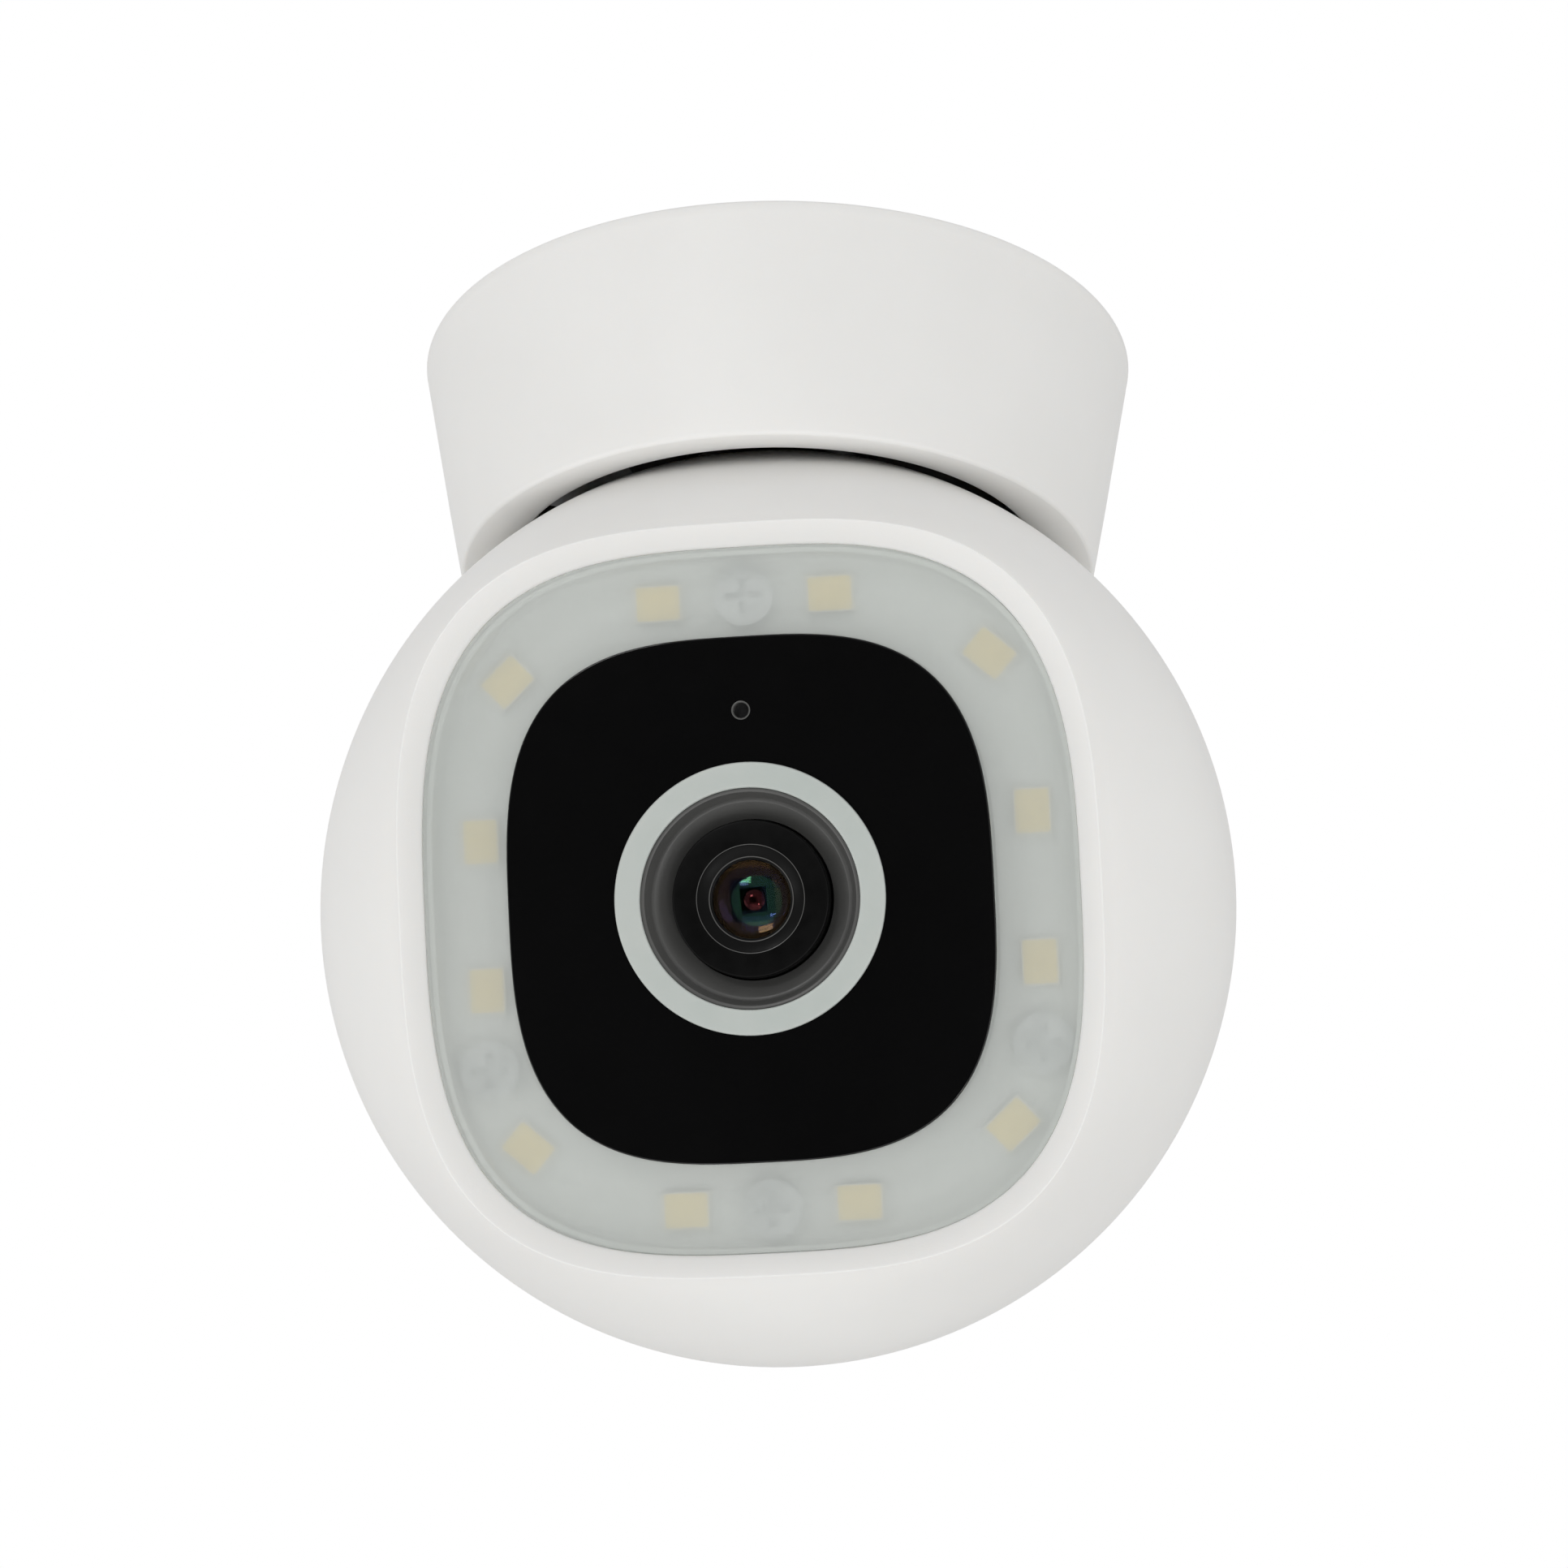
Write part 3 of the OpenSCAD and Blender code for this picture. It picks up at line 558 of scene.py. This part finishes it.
def status_ring(materials):
    low, high = lens_box("status_ring")
    outer = half_size("status_ring")[0]
    inner = half_size("lens_bezel")[0]
    soft = 0.16 * MM
    profile = [(inner, low.z), (outer, low.z), (outer, high.z - soft)]
    profile += arc(outer - soft, high.z - soft, soft, 15, 90, 5)
    profile += arc(inner + soft, high.z - soft, soft, 90, 180, 5)
    obj = lathe("ring_light", profile, LENS)
    place(obj, "status_ring", "head", materials["ring_light_guide"])


def lens_bezel(materials):
    low, high = lens_box("lens_bezel")
    outer = half_size("lens_bezel")[0]
    z = high.z
    profile = [(6 * MM, low.z), (outer, low.z), (outer, z - 0.05 * MM), (outer - 0.05 * MM, z)]
    profile += [(outer - 0.22 * MM, z), (outer - 0.3 * MM, z - 0.05 * MM)]
    profile += [(7.55 * MM, z - 1.05 * MM), (7.5 * MM, z - 1.1 * MM), (7.3 * MM, z - 1.1 * MM)]
    profile += [(7.22 * MM, z - 1.14 * MM), (6.1 * MM, z - 2.05 * MM), (6 * MM, z - 2.1 * MM)]
    obj = lathe("lens_cone", profile, LENS)
    place(obj, "lens_bezel", "head", materials["bezel_grey"])


def lens_barrel(materials):
    low, high = lens_box("lens_barrel")
    outer = half_size("lens_barrel")[0]
    glass = half_size("lens_glass")[0]
    z = high.z
    soft = 0.15 * MM
    profile = [(glass, low.z), (5 * MM, low.z), (5 * MM, 12.8 * MM), (outer, 12.8 * MM)]
    profile += arc(outer - soft, z - soft, soft, 0, 90, 4)
    profile += [(4.02 * MM, z), (3.98 * MM, z - 0.03 * MM), (3.94 * MM, z - 0.03 * MM)]
    profile += [(glass + 0.12 * MM, z - 0.48 * MM), (glass, z - 0.55 * MM)]
    obj = lathe("lens_barrel_body", profile, LENS)
    place(obj, "lens_barrel", "head", materials["lens_black"])
    # the two grey circles below are painted highlights: along the barrel's front rim and round the edge of
    # the glass
    barrel_line("barrel_line", 4 * MM, 0.05 * MM, z, materials)
    barrel_line("glass_line", glass + 0.17 * MM, 0.07 * MM, z - 0.4 * MM, materials)


def barrel_line(name, r, wide, top, materials):
    """Fine raised circle on the barrel, in a grey much lighter than the black barrel: the grey is a painted
    highlight for light caught along a rim.
    """
    profile = [(r, top - 0.05 * MM), (r + wide, top - 0.05 * MM)]
    profile += [(r + wide, top + 0.02 * MM), (r, top + 0.01 * MM)]
    obj = lathe(name, profile, LENS)
    follow(obj, "head", materials["bezel_grey"])


def lens_cap_profile(r, edge_z, top_z, dome_r, count=14):
    """Dome from its axis out to radius r, then down to edge_z."""
    full = math.asin(min(1.0, r / dome_r))
    points = []
    for i in range(count, 0, -1):
        a = full * i / count
        points.append((dome_r * math.sin(a), top_z - dome_r * (1 - math.cos(a))))
    points.append((0.02 * MM, top_z))
    return [(0.02 * MM, edge_z), (r, edge_z)] + points


def lens_glass(materials):
    high = lens_box("lens_glass")[1]
    r = half_size("lens_glass")[0]
    front = lens_cap_profile(r - 0.02 * MM, high.z - 1.6 * MM, high.z, 6 * MM)
    obj = lathe("front_element", front, LENS, 96, closed=False)
    place(obj, "lens_glass", "head", materials["lens_glass"])
    second = lens_cap_profile(2.4 * MM, high.z - 2.9 * MM, high.z - 1.9 * MM, 3.6 * MM)
    inner = lathe("second_element", second, LENS, 96, closed=False)
    follow(inner, "head", materials["element_green"])
    third = lens_cap_profile(0.9 * MM, high.z - 2.2 * MM, high.z - 1.7 * MM, 1.1 * MM)
    core = lathe("third_element", third, LENS, 64, closed=False)
    follow(core, "head", materials["element_red"])


def islands(node):
    """Corners of each separate solid of a CAD node, in the lens frame, in the same order each run."""
    bm = bmesh.new()
    bm.from_mesh(frame["nodes"][node].data)
    bmesh.ops.remove_doubles(bm, verts=bm.verts[:], dist=0.001 * MM)
    bm.transform(LENS.inverted())
    seen = set()
    found = []
    for start in bm.verts:
        if start in seen:
            continue
        seen.add(start)
        stack = [start]
        group = []
        while stack:
            vert = stack.pop()
            group.append(vert.co.copy())
            for edge in vert.link_edges:
                other = edge.other_vert(vert)
                if other not in seen:
                    seen.add(other)
                    stack.append(other)
        found.append(group)
    bm.free()
    return sorted(found, key=lambda g: (round(sum(p.y for p in g), 5), sum(p.x for p in g)))


def lamp_place(corners):
    """Middle of a lamp's back face, turned so that x runs along its longer side."""
    middle = sum(corners, Vector()) / len(corners)
    back = min(p.z for p in corners)
    base = [p for p in corners if p.z < back + 0.1 * MM]
    first = base[0]
    gaps = sorted(((p - first) for p in base[1:]), key=lambda d: d.length)
    along = gaps[1]
    turn = Matrix.Rotation(math.atan2(along.y, along.x), 4, "Z")
    return LENS @ Matrix.Translation((middle.x, middle.y, back)) @ turn


def rect_ring(a, b, z):
    """Rectangle of half sizes a and b with slightly rounded corners, in millimetres."""
    soft = 0.12

    def ring(t):
        c, s = math.cos(t), math.sin(t)
        flat = min(a / max(abs(c), 1e-9), b / max(abs(s), 1e-9))
        corner = math.hypot(a, b)
        return (min(flat, corner - soft * 0.41) * MM, z * MM)
    return ring


def lamp_ring(inset, z):
    return rect_ring(LAMP_HALF[0] - inset, LAMP_HALF[1] - inset, z)


def floodlight_leds(materials):
    """White packages on pale solder pads, each with a window of yellow phosphor."""
    lamps = [lamp_place(g) for g in islands("floodlight_leds")]
    for i, aim in enumerate(lamps):
        body = [lamp_ring(0, 0), lamp_ring(0, 0.72), lamp_ring(0.05, 0.78)]
        body += [lamp_ring(0.13, 0.78), lamp_ring(0.17, 0.7)]
        obj = loft(f"lamp_{i:02}", body, aim, 96, closed=False)
        place(obj, "floodlight_leds", "head", materials["board_white"])
        glow = [lamp_ring(0.13, 0.6), lamp_ring(0.13, 0.79), lamp_ring(0.35, 0.8)]
        window = loft(f"lamp_window_{i:02}", glow, aim, 96, closed=False)
        place(window, "floodlight_leds", "head", materials["led_phosphor"])
        pads = [rect_ring(2.3, 1.15, 0.01), rect_ring(2.3, 1.15, 0.05)]
        solder = loft(f"lamp_pads_{i:02}", pads, aim, 96, closed=False)
        follow(solder, "head", materials["board_white"])


# ---------- collar ----------

def collar(materials):
    low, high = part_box("collar")
    top_r = high.x
    taper = 3.2 * MM
    height = high.z - low.z
    lip_r = 20.65 * MM
    wall = 1.8 * MM
    lip_z = low.z + 0.9 * MM

    def outside(z):
        return top_r + taper * z / height

    soft = 0.35 * MM
    corner_r = outside(low.z + soft) - 0.05 * MM
    profile = [(top_r - wall, high.z)]
    profile += arc(top_r - 0.45 * MM, high.z - 0.4 * MM, 0.4 * MM, 90, 10, 5)
    profile += [(outside(z * MM), z * MM) for z in (-1, -6, -12)]
    profile += arc(corner_r - soft, low.z + soft, soft, 0, -90, 8)
    profile += [(lip_r + 0.2 * MM, lip_z - 0.04 * MM)]
    profile += arc(lip_r + 0.18 * MM, lip_z + 0.18 * MM, 0.18 * MM, -90, -180, 4)
    profile += [(lip_r, lip_z + 1.5 * MM), (outside(lip_z + 1.5 * MM) - wall, lip_z + 1.5 * MM)]
    obj = lathe("collar_skin", profile)
    cut(obj, collar_cuts)
    place(obj, "collar", "base", materials["white_plastic"])


def outward(azimuth, z):
    """Frame whose z axis points straight out of the collar at an azimuth and height."""
    turn = Matrix.Rotation(math.radians(azimuth), 4, "Z")
    return turn @ Matrix.Translation((0, 0, z)) @ Matrix.Rotation(math.radians(90), 4, "Y")


def collar_cuts(bm):
    """Power inlet, two lock screw recesses and the speaker grille, all at the back."""
    low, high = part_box("power_inlet")
    half_w, half_h = 4.9 * MM, 1.85 * MM
    slot = arc(0, half_w - half_h, half_h, 0, 180, 16)
    slot += arc(0, half_h - half_w, half_h, 180, 360, 16)
    prism(bm, slot, 20 * MM, 32 * MM, outward(90, (low.z + high.z) / 2))
    for azimuth in (60, 120):
        prism(bm, circle_points(1.8 * MM, 48), 26.2 * MM, 32 * MM, outward(azimuth, -4 * MM))
    for row in range(3):
        for k in range(-3, 4):
            hole = outward(90 + k * 4 + (row % 2) * 2, (-10.2 - row * 1.9) * MM)
            prism(bm, circle_points(0.5 * MM, 24), 20 * MM, 30 * MM, hole)


# ---------- stage ----------

def camera():
    """Long lens from below, a little to the right, aimed just above the ball centre."""
    azimuth, elevation = math.radians(8.1), math.radians(-22.66)
    pitch, yaw = math.radians(1.29), math.radians(-0.066)
    distance = 12 * 35 * MM     # twelve ball radii
    back = Vector((math.sin(azimuth) * math.cos(elevation), -math.cos(azimuth) * math.cos(elevation),
                   math.sin(elevation)))
    data = bpy.data.cameras.new("camera")
    data.sensor_width = 36
    data.lens = 126
    data.clip_start = 0.01
    obj = bpy.data.objects.new("camera", data)
    obj.location = head_centre + back * distance
    turn = (-back).to_track_quat("-Z", "Y").to_matrix().to_4x4()
    trim = Matrix.Rotation(pitch, 4, "X") @ Matrix.Rotation(yaw, 4, "Y")
    obj.matrix_world = Matrix.Translation(obj.location) @ turn @ trim
    bpy.context.scene.collection.objects.link(obj)
    bpy.context.scene.camera = obj


def area_light(name, place_at, size, power, colour=(1, 1, 1)):
    data = bpy.data.lights.new(name, "AREA")
    data.shape = "RECTANGLE"
    data.size, data.size_y = size
    data.energy = power
    data.color = colour
    obj = bpy.data.objects.new(name, data)
    obj.location = head_centre + Vector(place_at)
    obj.rotation_euler = (-Vector(place_at)).to_track_quat("-Z", "Y").to_euler()
    bpy.context.scene.collection.objects.link(obj)


def world():
    """White to the camera and a soft white room as light."""
    scene_world = bpy.data.worlds.new("studio")
    scene_world.use_nodes = True
    tree = scene_world.node_tree
    seen = tree.nodes.new("ShaderNodeBackground")
    seen.inputs["Color"].default_value = (1, 1, 1, 1)
    lit = tree.nodes["Background"]
    lit.inputs["Color"].default_value = (1, 1, 1, 1)
    lit.inputs["Strength"].default_value = 0.68
    mix = tree.nodes.new("ShaderNodeMixShader")
    path = tree.nodes.new("ShaderNodeLightPath")
    tree.links.new(path.outputs["Is Camera Ray"], mix.inputs["Fac"])
    tree.links.new(lit.outputs["Background"], mix.inputs[1])
    tree.links.new(seen.outputs["Background"], mix.inputs[2])
    tree.links.new(mix.outputs["Shader"], tree.nodes["World Output"].inputs["Surface"])
    bpy.context.scene.world = scene_world


def staged_plane(name, size, matrix, first, second):
    """Square of a matt paint that is part of the stage, not of the object."""
    bm = bmesh.new()
    bmesh.ops.create_grid(bm, x_segments=2, y_segments=2, size=size / 2)
    obj = new_object(name, bm, matrix)
    m = Nodes(name + "_paint")
    m.colours(m.noise(3), first, second)
    m.roughness(m.noise(12), 0.7, 0.85)
    paint(obj, m.material)
    return obj


def stage_planes():
    """Pale floor, and a dark card for the glossy face to mirror, hidden from the camera."""
    floor = Matrix.Translation((0, 0, -0.6))
    staged_plane("floor", 60, floor, (0.84, 0.84, 0.83), (0.87, 0.87, 0.86))
    azimuth, drop = math.radians(8), math.radians(17)
    aim = Vector((-math.sin(azimuth), -math.cos(azimuth), -math.tan(drop)))
    aim.normalize()
    turn = aim.to_track_quat("Z", "Y").to_matrix().to_4x4()
    card = Matrix.Translation(head_centre + aim * 0.55) @ turn
    obj = staged_plane("card", 0.3, card, (0.004, 0.004, 0.004), (0.007, 0.007, 0.007))
    obj.visible_camera = False


def studio():
    bpy.context.scene.view_settings.view_transform = "Standard"
    world()
    stage_planes()
    area_light("key", (0.3, -0.55, 0.8), (0.6, 0.5), 0.3, (1, 0.99, 0.98))
    area_light("side_left", (-0.6, -0.3, -0.3), (0.4, 0.4), 0.95)
    area_light("side_right", (0.6, -0.3, -0.3), (0.4, 0.4), 0.7)
    area_light("window_left", (-0.22, -0.76, 0.084), (0.16, 0.1), 0.6)
    area_light("window_low", (0.29, -0.55, -0.5), (0.1, 0.07), 0.35)
    area_light("from_below", (0, -0.35, -0.5), (0.5, 0.3), 0.5, (1, 0.985, 1))


def build():
    materials = make_materials()
    paint_cad_nodes(materials)
    front_shell(materials)
    rear_shell(materials)
    reset_button(materials)
    diffuser(materials)
    chamber_frame(materials)
    front_window(materials)
    status_ring(materials)
    lens_bezel(materials)
    lens_barrel(materials)
    lens_glass(materials)
    floodlight_leds(materials)
    collar(materials)
    camera()
    studio()


build()
